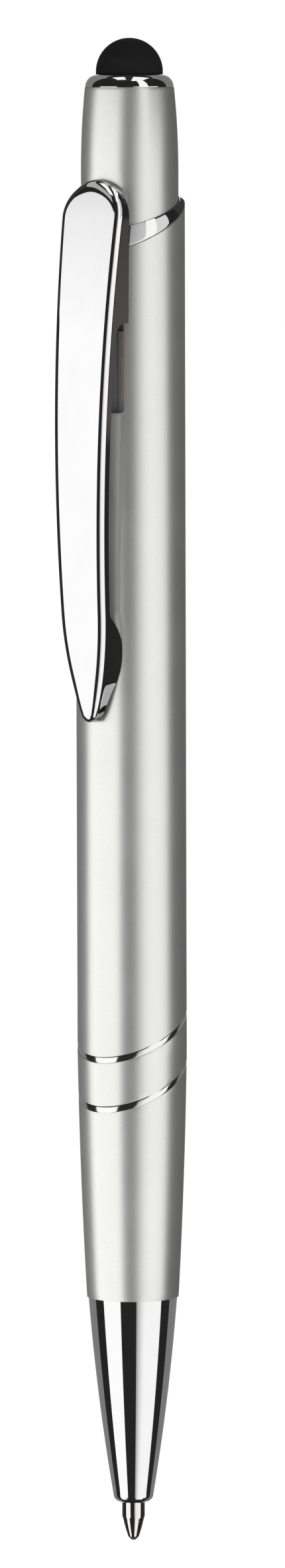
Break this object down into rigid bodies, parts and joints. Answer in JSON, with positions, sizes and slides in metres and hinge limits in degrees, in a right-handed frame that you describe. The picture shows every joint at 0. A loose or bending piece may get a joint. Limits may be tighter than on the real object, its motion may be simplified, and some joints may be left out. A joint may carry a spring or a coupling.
{
  "type": "stylus pen",
  "caption": "Slim satin-silver click ballpoint with a slanted mouth, polished trim rings, arched sprung clip on the push button, chrome nose cone and soft black stylus dome.",
  "frame": {"origin": "the writing point, at the outermost point of the ball", "axes": "+Z along the pen towards the stylus dome, -Y towards the clip, +X across the clip"},
  "size_m": [0.0103, 0.0138, 0.1414],
  "materials": {
    "satin_silver": "satin anodised silver",
    "chrome": "polished chrome plate",
    "stylus_rubber": "matte conductive rubber",
    "steel": "bright drawn steel",
    "nickel_tip": "nickel silver, turned",
    "brass": "turned brass",
    "dark_plastic": "dark moulded acetal",
    "grey_plastic": "moulded acetal",
    "clear_plastic": "clear extruded tube",
    "ink": "ballpoint ink",
    "grease": "clear grease"
  },
  "bodies": {
    "barrel": {"barrel": "satin_silver", "mouth_ring": "chrome", "upper_ring": "chrome", "centre_band": "satin_silver", "lower_ring": "chrome", "grip_sleeve": "satin_silver", "nose_cone": "chrome", "joint_tube": "brass", "cam_sleeve": "dark_plastic", "return_spring": "steel"},
    "button": {"pusher_sleeve": "satin_silver", "stylus_tip": "stylus_rubber", "tip_stem": "steel", "stylus_collar": "chrome", "clip_carrier": "dark_plastic", "plunger_tube": "steel", "driver_crown": "grey_plastic"},
    "clip": {"clip": "chrome"},
    "refill": {"refill_tube": "clear_plastic", "refill_point": "nickel_tip", "writing_ball": "steel", "ink_column": "ink", "grease_follower": "grease", "tail_plug": "grey_plastic"},
    "rotor": {"rotor": "grey_plastic"}
  },
  "joints": [
    {"name": "click", "type": "slide", "parent": "barrel", "child": "button", "axis": [0, 0, 1], "range_m": [-0.0018, 0.0055]},
    {"name": "refill_slide", "type": "slide", "parent": "barrel", "child": "refill", "axis": [0, 0, 1], "range_m": [-0.0018, 0.0055], "deforming": ["return_spring"]},
    {"name": "rotor_index", "type": "hinge", "parent": "refill", "child": "rotor", "pos_m": [0, 0, 0.1068], "axis": [0, 0, 1], "range_deg": [-12.6, 38.2]},
    {"name": "clip_flex", "type": "hinge", "parent": "button", "child": "clip", "pos_m": [0, -0.00506, 0.12476], "axis": [-1, 0, 0], "range_deg": [0, 4], "stiffness_Nm_per_rad": 3}
  ],
  "couplings": [
    {"joint": "refill_slide", "follows": "click", "ratio": 1},
    {"joint": "rotor_index", "follows": "click", "rad_per_m": 120.59}
  ]
}
